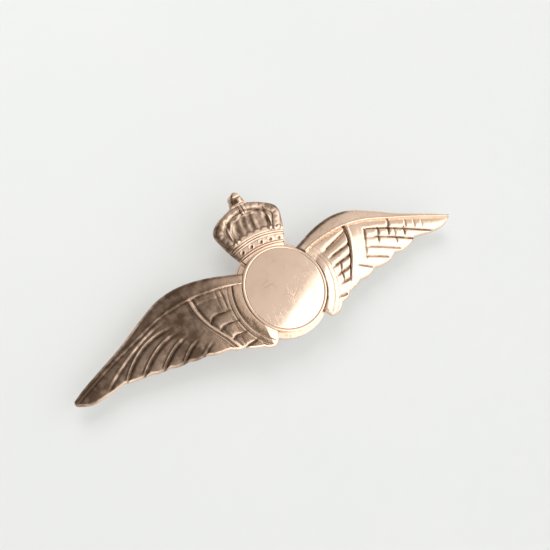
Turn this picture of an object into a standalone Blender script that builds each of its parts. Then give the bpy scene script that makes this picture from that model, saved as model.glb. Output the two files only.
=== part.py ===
"""Pilot wings pin: two feathered wings and a crown round a raised disc, with a hinged pin and a turning
safety catch on the back. Lengths below are in millimetres; meshes are made in metres.

Badge coordinates: origin at the centre of the disc's rim plane, +X along one wing, +Y to the crown,
+Z out of the face. The badge_frame empty lifts the badge so that its fittings stand on Z = 0 and
centres its box on X = Y = 0.
"""

import math

import bmesh
import bpy

MM = 0.001
PART_NAME = "pilot_wings_pin"
SEAT_GAP = 0.03  # left between soldered pieces

# Centre: a domed disc in a thin flat-topped bezel on a slightly larger round plate
DISC_RADIUS = 4.38
DISC_RIM = -0.10
DISC_RISE = 0.16
BEZEL_INNER = DISC_RADIUS + SEAT_GAP
BEZEL_OUTER = 4.66
BEZEL_TOP = -0.08
BEZEL_EASE = 0.05
PLATE_RADIUS = 5.23
PLATE_TOP = -0.94
PLATE_THICK = 0.80
PLATE_EASE = 0.12

# Wings
HALF_SPAN = 24.0
WING_ROOT_RADIUS = BEZEL_OUTER + 0.08
WING_ROOT_ANGLES = (-52.0, 44.5)
WING_SEAT = PLATE_TOP + SEAT_GAP
WING_THICK_ROOT = 0.58
WING_THICK = 0.80
WING_PAST_PLATE = PLATE_RADIUS + 0.1
WING_THICKENING = 3.0  # length over which the wing grows to its full thickness
FACE_DROP = 0.10
BEND_FROM = 4.0
BEND_SLOPE = 0.176
BEND_EASING = 0.004
ROLL_WIDTH = 0.45
ROLL_DEPTH = 0.22
BAND_WIDTH = 1.1
FIELD_DEPTH = 0.14
DIVIDER_HEIGHT = 0.18
DIVIDER_HALF_WIDTH = 0.5
UPPER_EDGE = (
    (3.40, 3.34), (4.6, 3.80), (7.5, 4.72), (10.0, 5.04), (12.5, 4.71),
    (15.0, 3.62), (18.0, 2.09), (21.0, 0.82), (23.3, -0.20), (24.0, -0.62),
)  # fmt: skip
LOWER_EDGE = (
    (2.94, -3.75), (3.3, -4.50), (4.3, -4.75), (6.0, -4.05), (8.0, -3.30), (10.5, -2.65),
    (13.5, -2.20), (16.0, -1.80), (18.5, -1.35), (21.0, -1.45), (23.2, -1.25), (23.9, -0.85),
)  # fmt: skip
DIVIDER = ((10.05, 3.4), (10.1, 1.5), (9.5, 0.0), (8.6, -1.5), (7.3, -3.4))
WING_COLUMNS = 46
WING_ROWS = 14

# Crown: half-width against height, from its seat on the plate up to the finial
CROWN_SEAT_RADIUS = BEZEL_OUTER + 0.06
CROWN_BACK = WING_SEAT
CROWN_FRONT = -0.38
CROWN_TOP = 11.6
CROWN_HALF_WIDTHS = (
    (4.72, 2.62), (5.2, 2.85), (5.8, 3.15), (6.4, 3.50), (7.0, 3.82), (7.6, 4.05), (8.1, 4.10),
    (8.6, 3.92), (9.1, 3.40), (9.5, 2.72), (9.8, 2.02), (10.05, 1.32), (10.25, 0.98), (10.5, 0.88),
    (10.8, 0.80), (11.1, 0.76), (11.35, 0.62), (CROWN_TOP, 0.30),
)  # fmt: skip
CROWN_BAND = (4.9, 6.4)
CROWN_BAND_RISE = 0.14
ARCH_TOP = 9.3
ARCH_SPREAD = 4.2
ARCH_RISE = 0.16
FINIAL_FROM = 10.1
FINIAL_RISE = 0.12
BASE_CURVE_REACH = 2.5  # height over which the curved base straightens out
CROWN_COLUMNS = 16
CROWN_ROWS = 34

# Fittings on the back, on one line along X
PIN_LINE_Y = 1.15
PIN_LINE_Z = -3.85
PIN_RADIUS = 0.40
PIN_POINT_RADIUS = 0.05
PIN_POINT_X = 17.6
PIN_TAPER = 5.0
FITTING_X = 14.8
CATCH_RADIUS = 1.20
PAD_THICK = 0.30
PAD_WIDTH = 3.4
HINGE_PAD_LENGTH = 2.8
HINGE_X = -FITTING_X
LUG_THICK = 0.75
LUG_GAP = 0.05
KNUCKLE_RADIUS = 0.80
KNUCKLE_LENGTH = 1.10
KNUCKLE_EASE = 0.08
RIVET_RADIUS = 0.33
RIVET_HEAD_RADIUS = 0.56
RIVET_HEAD = 0.28
RIVET_HEAD_SIDE = 0.08
RIVET_HEAD_DOME = 0.05
RIVET_CLEARANCE = 0.04
CATCH_LENGTH = 1.70
CATCH_PAD_LENGTH = 1.80
CATCH_BORE = 0.88
CATCH_SLOT = 0.90
LUG_RADIUS = math.sqrt(CATCH_RADIUS**2 - (CATCH_SLOT / 2) ** 2)  # level with the slot's lips
ROTOR_OUTER = 0.82
ROTOR_INNER = 0.49
END_PLAY = 0.05
COLLAR_RADIUS = 1.05
LEVER_ANGLE = -22.0
LEVER_REACH = 2.05
LEVER_HALF_WIDTH = 0.26
LEVER_END_RADIUS = 0.32
LEVER_THICK = 0.45

BADGE_Y = -(CROWN_TOP - PLATE_RADIUS) / 2
BADGE_Z = LUG_RADIUS - PIN_LINE_Z

ROSE_GOLD = (0.62, 0.40, 0.29, 1.0)
POLISHED_GOLD = (0.70, 0.49, 0.38, 1.0)
SPRING_GOLD = (0.58, 0.38, 0.25, 1.0)


def clear_scene():
    for obj in list(bpy.data.objects):
        bpy.data.objects.remove(obj, do_unlink=True)


def new_collection(name):
    collection = bpy.data.collections.new(name)
    bpy.context.scene.collection.children.link(collection)
    return collection


def new_material(name, colour, roughness):
    material = bpy.data.materials.new(name)
    material.use_nodes = True
    shader = material.node_tree.nodes["Principled BSDF"]
    shader.inputs["Base Color"].default_value = colour
    shader.inputs["Metallic"].default_value = 1.0
    shader.inputs["Roughness"].default_value = roughness
    return material


def new_empty(name, collection, location, parent=None):
    empty = bpy.data.objects.new(name, None)
    empty.empty_display_size = 2 * MM
    empty.location = [c * MM for c in location]
    empty.parent = parent
    collection.objects.link(empty)
    return empty


def new_object(name, data, collection, parent, colour, roughness):
    obj = bpy.data.objects.new(name, data)
    obj.parent = parent
    data.materials.append(new_material(name, colour, roughness))
    collection.objects.link(obj)
    return obj


def finish_mesh(name, bm, smooth_under=math.radians(40)):
    """The bmesh as mesh data, its faces turned out and its round sides shaded smooth."""
    bmesh.ops.recalc_face_normals(bm, faces=bm.faces)
    mesh = bpy.data.meshes.new(name)
    bm.to_mesh(mesh)
    bm.free()
    mesh.shade_smooth()
    mesh.set_sharp_from_angle(angle=smooth_under)
    return mesh


def profile_mesh(name, profile, closed):
    """The edges between (radius, height) pairs, given from the top down the outer side."""
    mesh = bpy.data.meshes.new(name)
    bm = bmesh.new()
    points = [bm.verts.new((r * MM, 0, z * MM)) for r, z in profile]
    ends = points[1:] + points[:1] if closed else points[1:]
    for start, end in zip(points, ends):
        bm.edges.new((start, end))
    bm.to_mesh(mesh)
    bm.free()
    return mesh


def turn_profile(obj, steps):
    screw = obj.modifiers.new("turn", "SCREW")
    screw.angle = math.tau
    screw.steps = steps
    screw.render_steps = steps
    screw.use_merge_vertices = True
    screw.merge_threshold = 1e-6
    screw.use_smooth_shade = True


def flat_outline(name, outlines, thickness):
    """A 2D curve filled between its closed outlines and extruded to the thickness about its own plane."""
    curve = bpy.data.curves.new(name, "CURVE")
    curve.dimensions = "2D"
    curve.fill_mode = "BOTH"
    curve.extrude = thickness * MM / 2
    for outline in outlines:
        spline = curve.splines.new("POLY")
        spline.points.add(len(outline) - 1)
        spline.use_cyclic_u = True
        for point, (x, y) in zip(spline.points, outline):
            point.co = (x * MM, y * MM, 0, 1)
    return curve


def arc(radius, start, end, steps, centre=(0.0, 0.0)):
    """Points on a circle from start to end degrees, both ends included."""
    angles = [math.radians(start + (end - start) * i / steps) for i in range(steps + 1)]
    return [(centre[0] + radius * math.cos(a), centre[1] + radius * math.sin(a)) for a in angles]


def along(points, x):
    """The outline's y at x, in straight lines between its points."""
    for (x0, y0), (x1, y1) in zip(points, points[1:]):
        if x <= x1:
            share = (x - x0) / (x1 - x0)
            return y0 + (y1 - y0) * max(0.0, share)
    return points[-1][1]


def smooth_step(share):
    share = min(max(share, 0.0), 1.0)
    return share * share * (3 - 2 * share)


def wing_arch(x):
    """Height of the wing's face, which bends back from the disc towards the tip."""
    out = max(0.0, x - BEND_FROM)
    return -(FACE_DROP + BEND_SLOPE * out - BEND_EASING * out * out)


def wing_back(x):
    """Height of the wing's back: level on the plate, then parallel to the face."""
    if x <= WING_PAST_PLATE:
        return WING_SEAT
    grow = smooth_step((x - WING_PAST_PLATE) / WING_THICKENING)
    return wing_arch(x) - WING_THICK_ROOT - (WING_THICK - WING_THICK_ROOT) * grow


def wing_point(u, t):
    """The plan position u along the wing from root to tip and t across it from lower to upper edge."""
    low_x = LOWER_EDGE[0][0] + (LOWER_EDGE[-1][0] - LOWER_EDGE[0][0]) * u
    high_x = UPPER_EDGE[0][0] + (UPPER_EDGE[-1][0] - UPPER_EDGE[0][0]) * u
    low = (low_x, along(LOWER_EDGE, low_x))
    high = (high_x, along(UPPER_EDGE, high_x))
    angle = math.radians(WING_ROOT_ANGLES[0] + (WING_ROOT_ANGLES[1] - WING_ROOT_ANGLES[0]) * t)
    chord_x = LOWER_EDGE[0][0] + (UPPER_EDGE[0][0] - LOWER_EDGE[0][0]) * t
    chord_y = LOWER_EDGE[0][1] + (UPPER_EDGE[0][1] - LOWER_EDGE[0][1]) * t
    fade = (1 - u) ** 7
    x = low[0] + (high[0] - low[0]) * t + (WING_ROOT_RADIUS * math.cos(angle) - chord_x) * fade
    y = low[1] + (high[1] - low[1]) * t + (WING_ROOT_RADIUS * math.sin(angle) - chord_y) * fade
    return x, y


def wing_relief(x, y):
    """Height over the arch: a rolled leading edge, a sunk feather field and the raised divider."""
    depth = along(UPPER_EDGE, min(x, HALF_SPAN)) - y
    roll = -ROLL_DEPTH * max(0.0, 1 - depth / ROLL_WIDTH) ** 2
    field = -FIELD_DEPTH * smooth_step((depth - BAND_WIDTH) / 0.4)
    divider_x = 0.0
    for (x0, y0), (x1, y1) in zip(DIVIDER, DIVIDER[1:]):
        if y1 <= y <= y0:
            divider_x = x0 + (x1 - x0) * (y - y0) / (y1 - y0)
    ridge = DIVIDER_HEIGHT * max(0.0, 1 - abs(x - divider_x) / DIVIDER_HALF_WIDTH)
    return roll + field + ridge


def wing_mesh(name, side):
    """A grid laid over the wing's plan, lifted to its relief and extruded to its back. side is 1 or -1."""
    bm = bmesh.new()
    bmesh.ops.create_grid(bm, x_segments=WING_COLUMNS, y_segments=WING_ROWS, size=0.5)
    for vert in bm.verts:
        x, y = wing_point(vert.co.x + 0.5, vert.co.y + 0.5)
        vert.co = (x, y, wing_arch(x) + wing_relief(x, y))
    made = bmesh.ops.extrude_face_region(bm, geom=bm.faces[:])
    for vert in made["geom"]:
        if isinstance(vert, bmesh.types.BMVert):
            vert.co.z = wing_back(vert.co.x)
    bmesh.ops.scale(bm, vec=(side * MM, MM, MM), verts=bm.verts)
    return finish_mesh(name, bm)


def crown_relief(x, y):
    """Height over the crown's front: a raised band, sunk cap panels between three arches, a round orb."""
    if y > FINIAL_FROM:
        return FINIAL_RISE
    band = smooth_step((y - CROWN_BAND[0]) / 0.3) * smooth_step((CROWN_BAND[1] - y) / 0.3)
    arches = abs(math.cos(1.5 * math.pi * x / ARCH_SPREAD)) if y < ARCH_TOP else 1.0
    return CROWN_BAND_RISE * band + ARCH_RISE * (arches - 0.6) * (1 - band)


def crown_mesh(name):
    """A grid between the crown's two edges. Its lowest row follows the bezel."""
    bm = bmesh.new()
    bmesh.ops.create_grid(bm, x_segments=CROWN_COLUMNS, y_segments=CROWN_ROWS, size=0.5)
    base = CROWN_HALF_WIDTHS[0][0]
    for vert in bm.verts:
        level = base + (CROWN_TOP - base) * (vert.co.y + 0.5)
        x = 2 * vert.co.x * along(CROWN_HALF_WIDTHS, level)
        curve = math.sqrt(CROWN_SEAT_RADIUS**2 - min(abs(x), 3.0) ** 2) - CROWN_SEAT_RADIUS
        y = level + curve * max(0.0, 1 - (level - base) / BASE_CURVE_REACH)
        vert.co = (x, y, CROWN_FRONT + crown_relief(x, y))
    made = bmesh.ops.extrude_face_region(bm, geom=bm.faces[:])
    for vert in made["geom"]:
        if isinstance(vert, bmesh.types.BMVert):
            vert.co.z = CROWN_BACK
    bmesh.ops.scale(bm, vec=(MM, MM, MM), verts=bm.verts)
    return finish_mesh(name, bm)


def pad_mesh(name, centre_x, length):
    """A thin plate whose top follows the wing's back and whose underside is level."""
    bm = bmesh.new()
    bmesh.ops.create_grid(bm, x_segments=8, y_segments=2, size=0.5)
    lowest = wing_back(FITTING_X + HINGE_PAD_LENGTH / 2) - SEAT_GAP - PAD_THICK
    for vert in bm.verts:
        x = centre_x + vert.co.x * length
        y = PIN_LINE_Y + vert.co.y * PAD_WIDTH
        vert.co = (x, y, wing_back(abs(x)) - SEAT_GAP)
    made = bmesh.ops.extrude_face_region(bm, geom=bm.faces[:])
    for vert in made["geom"]:
        if isinstance(vert, bmesh.types.BMVert):
            vert.co.z = lowest
    bmesh.ops.scale(bm, vec=(MM, MM, MM), verts=bm.verts)
    return finish_mesh(name, bm), lowest


def add_turned(name, collection, parent, profile, colour, roughness, closed=False, steps=48):
    mesh = profile_mesh(name, profile, closed)
    obj = new_object(name, mesh, collection, parent, colour, roughness)
    turn_profile(obj, steps)
    return obj


def add_disc(parts, badge):
    dome_radius = (DISC_RADIUS**2 + DISC_RISE**2) / (2 * DISC_RISE)
    profile = []
    for i in range(9):
        r = DISC_RADIUS * i / 8
        profile.append((r, DISC_RIM + DISC_RISE - dome_radius + math.sqrt(dome_radius**2 - r * r)))
    profile += [(DISC_RADIUS, WING_SEAT), (0.0, WING_SEAT)]
    add_turned("centre_disc", parts, badge, profile, POLISHED_GOLD, 0.18, steps=64)


def add_bezel(parts, badge):
    profile = [
        (BEZEL_INNER, BEZEL_TOP),
        (BEZEL_OUTER - BEZEL_EASE, BEZEL_TOP),
        (BEZEL_OUTER, BEZEL_TOP - BEZEL_EASE),
        (BEZEL_OUTER, WING_SEAT),
        (BEZEL_INNER, WING_SEAT),
    ]
    add_turned("disc_bezel", parts, badge, profile, ROSE_GOLD, 0.25, closed=True, steps=64)


def add_plate(parts, badge):
    bottom = PLATE_TOP - PLATE_THICK
    profile = [
        (0.0, PLATE_TOP),
        (PLATE_RADIUS - PLATE_EASE, PLATE_TOP),
        (PLATE_RADIUS, PLATE_TOP - PLATE_EASE),
        (PLATE_RADIUS, bottom + PLATE_EASE),
        (PLATE_RADIUS - PLATE_EASE, bottom),
        (0.0, bottom),
    ]
    add_turned("back_plate", parts, badge, profile, ROSE_GOLD, 0.3, steps=64)


def lug_outlines(top):
    """A rounded lug round the origin with a rivet hole; top is the height of its straight upper edge."""
    outer = arc(LUG_RADIUS, 180, 360, 18) + [(LUG_RADIUS, top), (-LUG_RADIUS, top)]
    hole = arc(RIVET_RADIUS + RIVET_CLEARANCE, 0, 345, 23)
    return [outer, hole]


def add_hinge(parts, badge):
    pad, pad_bottom = pad_mesh("hinge_plate", HINGE_X, HINGE_PAD_LENGTH)
    new_object("hinge_plate", pad, parts, badge, SPRING_GOLD, 0.3)
    lug_top = pad_bottom - SEAT_GAP - PIN_LINE_Z
    lug_offset = (KNUCKLE_LENGTH + LUG_THICK) / 2 + LUG_GAP
    for name, side in (("hinge_lug_upper", 1), ("hinge_lug_lower", -1)):
        data = flat_outline(name, lug_outlines(lug_top), LUG_THICK)
        lug = new_object(name, data, parts, badge, SPRING_GOLD, 0.3)
        lug.location = (HINGE_X * MM, (PIN_LINE_Y + side * lug_offset) * MM, PIN_LINE_Z * MM)
        lug.rotation_euler = (math.pi / 2, 0, 0)
    reach = lug_offset + LUG_THICK / 2 + SEAT_GAP
    head = reach + RIVET_HEAD
    rivet = [
        (0.0, head),
        (RIVET_HEAD_RADIUS * 0.6, head - RIVET_HEAD_DOME),
        (RIVET_HEAD_RADIUS, reach + RIVET_HEAD_SIDE),
        (RIVET_HEAD_RADIUS, reach),
        (RIVET_RADIUS, reach),
    ]
    rivet += [(r, -z) for r, z in reversed(rivet)]
    obj = add_turned("hinge_rivet", parts, badge, rivet, SPRING_GOLD, 0.3, steps=24)
    obj.location = (HINGE_X * MM, PIN_LINE_Y * MM, PIN_LINE_Z * MM)
    obj.rotation_euler = (math.pi / 2, 0, 0)


def add_pin(parts, badge):
    axis = new_empty("pin_axis", parts, (HINGE_X, PIN_LINE_Y, PIN_LINE_Z), badge)
    bore = RIVET_RADIUS + RIVET_CLEARANCE
    half = KNUCKLE_LENGTH / 2
    tube = [
        (bore, half),
        (KNUCKLE_RADIUS - KNUCKLE_EASE, half),
        (KNUCKLE_RADIUS, half - KNUCKLE_EASE),
        (KNUCKLE_RADIUS, KNUCKLE_EASE - half),
        (KNUCKLE_RADIUS - KNUCKLE_EASE, -half),
        (bore, -half),
    ]
    knuckle = add_turned("pin_knuckle", parts, axis, tube, SPRING_GOLD, 0.28, True, 32)
    knuckle.rotation_euler = (math.pi / 2, 0, 0)
    root = KNUCKLE_RADIUS + SEAT_GAP
    point = PIN_POINT_X - HINGE_X
    stem = [(0.0, point), (PIN_POINT_RADIUS, point - PIN_POINT_RADIUS)]
    for i in range(1, 6):
        share = i / 5
        radius = PIN_POINT_RADIUS + (PIN_RADIUS - PIN_POINT_RADIUS) * share**0.8
        stem.append((radius, point - PIN_TAPER * share))
    stem += [(PIN_RADIUS, root), (0.0, root)]
    wire = add_turned("pin_stem", parts, axis, stem, SPRING_GOLD, 0.22, steps=20)
    wire.rotation_euler = (0, math.pi / 2, 0)


def slotted_ring(outer, inner, slot, steps):
    """A ring's outline with a parallel slot open downwards."""
    outer_gap = math.degrees(math.asin(slot / 2 / outer))
    inner_gap = math.degrees(math.asin(slot / 2 / inner))
    ring = arc(outer, -90 + outer_gap, 270 - outer_gap, steps)
    return ring + arc(inner, 270 - inner_gap, -90 + inner_gap, steps)


def catch_outline(top):
    """The slotted housing with a foot as wide as itself that reaches up to the plate."""
    outer_gap = math.degrees(math.asin(CATCH_SLOT / 2 / CATCH_RADIUS))
    inner_gap = math.degrees(math.asin(CATCH_SLOT / 2 / CATCH_BORE))
    shell = arc(CATCH_RADIUS, -90 + outer_gap, 0, 9) + [(CATCH_RADIUS, top), (-CATCH_RADIUS, top)]
    shell += arc(CATCH_RADIUS, 180, 270 - outer_gap, 9)
    return shell + arc(CATCH_BORE, 270 - inner_gap, -90 + inner_gap, 24)


def face_along_x(obj):
    """Turns a flat outline: its first axis lies along Y, its second along Z and its thickness along X."""
    obj.rotation_euler = (math.pi / 2, 0, math.pi / 2)


def lever_outline():
    """A slotted collar with a round-ended thumb tab, which stands out at LEVER_ANGLE from the first axis."""
    collar_gap = math.degrees(math.asin(CATCH_SLOT / 2 / COLLAR_RADIUS))
    inner_gap = math.degrees(math.asin(CATCH_SLOT / 2 / ROTOR_INNER))
    spread = math.degrees(math.asin(LEVER_HALF_WIDTH / COLLAR_RADIUS))
    turn = math.radians(LEVER_ANGLE)
    reach = LEVER_REACH - LEVER_END_RADIUS
    end_centre = (reach * math.cos(turn), reach * math.sin(turn))
    outline = arc(COLLAR_RADIUS, -90 + collar_gap, LEVER_ANGLE - spread, 3)
    outline += arc(LEVER_END_RADIUS, LEVER_ANGLE - 120, LEVER_ANGLE + 120, 10, end_centre)
    outline += arc(COLLAR_RADIUS, LEVER_ANGLE + spread, 270 - collar_gap, 20)
    return outline + arc(ROTOR_INNER, 270 - inner_gap, -90 + inner_gap, 20)


def add_catch(parts, badge):
    pad, pad_bottom = pad_mesh("catch_plate", FITTING_X, CATCH_PAD_LENGTH)
    new_object("catch_plate", pad, parts, badge, SPRING_GOLD, 0.3)
    data = flat_outline("catch_body", [catch_outline(pad_bottom - SEAT_GAP - PIN_LINE_Z)], CATCH_LENGTH)
    body = new_object("catch_body", data, parts, badge, SPRING_GOLD, 0.3)
    body.location = (FITTING_X * MM, PIN_LINE_Y * MM, PIN_LINE_Z * MM)
    face_along_x(body)
    axis = new_empty("catch_axis", parts, (FITTING_X, PIN_LINE_Y, PIN_LINE_Z), badge)
    ring = slotted_ring(ROTOR_OUTER, ROTOR_INNER, CATCH_SLOT, 24)
    sleeve = flat_outline("catch_rotor", [ring], CATCH_LENGTH + END_PLAY)
    rotor = new_object("catch_rotor", sleeve, parts, axis, SPRING_GOLD, 0.25)
    rotor.location.x = END_PLAY / 2 * MM
    face_along_x(rotor)
    tab = flat_outline("catch_lever", [lever_outline()], LEVER_THICK)
    lever = new_object("catch_lever", tab, parts, axis, SPRING_GOLD, 0.25)
    lever.location.x = (CATCH_LENGTH / 2 + END_PLAY + SEAT_GAP + LEVER_THICK / 2) * MM
    face_along_x(lever)


def main():
    clear_scene()
    parts = new_collection(PART_NAME)
    badge = new_empty("badge_frame", parts, (0, BADGE_Y, BADGE_Z))
    for name, side in (("left_wing", -1), ("right_wing", 1)):
        new_object(name, wing_mesh(name, side), parts, badge, ROSE_GOLD, 0.3)
    new_object("crown", crown_mesh("crown"), parts, badge, ROSE_GOLD, 0.35)
    add_disc(parts, badge)
    add_bezel(parts, badge)
    add_plate(parts, badge)
    add_hinge(parts, badge)
    add_pin(parts, badge)
    add_catch(parts, badge)


main()
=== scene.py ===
"""Looks of the pilot wings pin: struck rose gold wings and crown with tarnished recesses and painted shade,
a polished disc, and satin fittings behind.

Shapes are worked out in millimetres in badge coordinates. The origin is on the disc's axis, DISC_TOP under
its highest point, with +X along a wing, +Y to the crown and +Z out of the face. The frame's box places it.
"""

import math

import bmesh
import bpy
import numpy as np
from mathutils import Matrix, Vector


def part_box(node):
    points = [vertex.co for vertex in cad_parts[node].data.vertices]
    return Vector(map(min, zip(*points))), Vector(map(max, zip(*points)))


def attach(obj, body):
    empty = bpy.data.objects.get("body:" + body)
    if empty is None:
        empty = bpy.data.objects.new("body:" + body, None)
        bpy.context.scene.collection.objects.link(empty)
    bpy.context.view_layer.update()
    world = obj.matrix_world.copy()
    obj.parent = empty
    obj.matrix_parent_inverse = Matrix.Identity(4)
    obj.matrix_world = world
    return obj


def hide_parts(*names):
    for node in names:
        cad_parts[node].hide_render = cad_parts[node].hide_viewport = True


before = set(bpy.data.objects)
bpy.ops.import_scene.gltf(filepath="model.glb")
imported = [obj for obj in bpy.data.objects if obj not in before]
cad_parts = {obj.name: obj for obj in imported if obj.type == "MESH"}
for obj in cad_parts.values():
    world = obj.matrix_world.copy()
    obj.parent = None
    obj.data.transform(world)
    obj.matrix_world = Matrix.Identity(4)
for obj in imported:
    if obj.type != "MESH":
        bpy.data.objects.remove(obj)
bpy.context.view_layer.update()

MM = 0.001
DISC_TOP = 0.06
disc_low, disc_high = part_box("centre_disc")
BADGE = Vector((
    (disc_low.x + disc_high.x) / 2, (disc_low.y + disc_high.y) / 2, disc_high.z - DISC_TOP * MM
))

# Driving sizes in millimetres. What stands on the plate ends at SEAT, a solder line's width above it.
DISC_RADIUS = 4.38
BEZEL_RADIUS = 4.66
PLATE_RADIUS = 5.23
PLATE_TOP = -0.94
SEAT = -0.91

# Each wing's root runs round the disc between these angles, with a plain collar between the two radii
ROOT_ANGLES = (-52.0, 44.5)
COLLAR_INNER = 4.74
COLLAR_RADIUS = 5.70

UPPER_EDGE = (
    (3.40, 3.34), (4.6, 3.80), (7.5, 4.72), (10.0, 5.04), (12.5, 4.71),
    (15.0, 3.62), (18.0, 2.09), (21.0, 0.82), (23.2, -0.17), (23.75, -0.50),
)
LOWER_EDGE = (
    (2.94, -3.75), (3.3, -4.45), (4.3, -4.62), (6.0, -3.85), (8.0, -3.10), (10.5, -2.50),
    (13.5, -2.05), (16.0, -1.65), (18.5, -1.25), (21.0, -1.40), (23.1, -1.34), (23.7, -1.10),
)
RIDGE_LINE = (
    (3.4, 2.45), (5.0, 2.98), (7.5, 3.42), (10.0, 3.60), (13.0, 3.25), (16.0, 2.32), (20.0, 0.92),
    (24.0, -0.72),
)


BACK_TARNISH = 0.35


# ---------------------------------------------------------------- curves and grids


def smooth_curve(points):
    """A function through the points whose slope at each is the mean of its neighbours' chords."""
    xs, ys = np.array(points, float).T
    slopes = np.gradient(ys, xs)

    def at(x):
        x = np.clip(x, xs[0], xs[-1])
        i = np.clip(np.searchsorted(xs, x, side="right") - 1, 0, len(xs) - 2)
        width = xs[i + 1] - xs[i]
        t = (x - xs[i]) / width
        start = (1 + 2 * t) * (1 - t) ** 2 * ys[i] + t * (1 - t) ** 2 * width * slopes[i]
        end = t * t * (3 - 2 * t) * ys[i + 1] + t * t * (t - 1) * width * slopes[i + 1]
        return start + end

    return at


def smooth_step(low, high, value):
    share = np.clip((value - low) / (high - low), 0, 1)
    return share * share * (3 - 2 * share)


def groove(distance, width):
    """1 on a line and 0 well off it."""
    return np.exp(-((distance / width) ** 2))


def bead(distance, half_width):
    """The round cross-section of a wire of that half-width, 0 outside it."""
    return np.sqrt(np.clip(1 - (distance / half_width) ** 2, 0, 1))


def clustered(count):
    """Steps from 0 to 1 that are finer near both ends."""
    even = np.linspace(0, 1, count)
    return 0.6 * even + 0.4 * (1 - np.cos(math.pi * even)) / 2


def slab(name, x, y, top, back, tarnish_and_shade, mirrored=False):
    """A closed mesh from grids of plan position and of top and back heights, with its darkening, patina and
    painted shade, as an attribute.
    """
    rows, columns = x.shape
    count = rows * columns
    side = -1 if mirrored else 1
    upper = np.stack([side * x, y, top], -1).reshape(-1, 3)
    lower = np.stack([side * x, y, back], -1).reshape(-1, 3)
    index = np.arange(count).reshape(rows, columns)
    a, b, c, d = index[:-1, :-1], index[:-1, 1:], index[1:, 1:], index[1:, :-1]
    face = np.stack([a, b, c, d], -1).reshape(-1, 4)
    ring = np.concatenate([index[0, :], index[1:, -1], index[-1, -2::-1], index[-2:0:-1, 0]])
    after = np.roll(ring, -1)
    wall = np.stack([ring, ring + count, after + count, after], -1)
    faces = np.concatenate([face, face[:, ::-1] + count, wall])
    mesh = bpy.data.meshes.new(name)
    mesh.from_pydata((np.concatenate([upper, lower]) * MM + np.array(BADGE)).tolist(), [], faces.tolist())
    values = np.concatenate([tarnish_and_shade.reshape(-1), np.full(count, BACK_TARNISH)]).astype(np.float32)
    mesh.attributes.new("tarnish_and_shade", "FLOAT", "POINT").data.foreach_set("value", values)
    bm = bmesh.new()
    bm.from_mesh(mesh)
    bmesh.ops.recalc_face_normals(bm, faces=bm.faces)
    bm.to_mesh(mesh)
    bm.free()
    mesh.shade_smooth()
    mesh.set_sharp_from_angle(angle=math.radians(60))
    piece = bpy.data.objects.new(name, mesh)
    bpy.context.scene.collection.objects.link(piece)
    return piece


# ---------------------------------------------------------------- wings


WING_COLUMNS = 380
WING_ROWS = 118
CROWNING = 0.030
FIELD_LEVEL = -0.06
COVERT_CUT_WIDTH = 0.130
EDGE_ROLL = 0.24
upper_edge = smooth_curve(UPPER_EDGE)
lower_base = smooth_curve(LOWER_EDGE)
ridge_line = smooth_curve(RIDGE_LINE)
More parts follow.
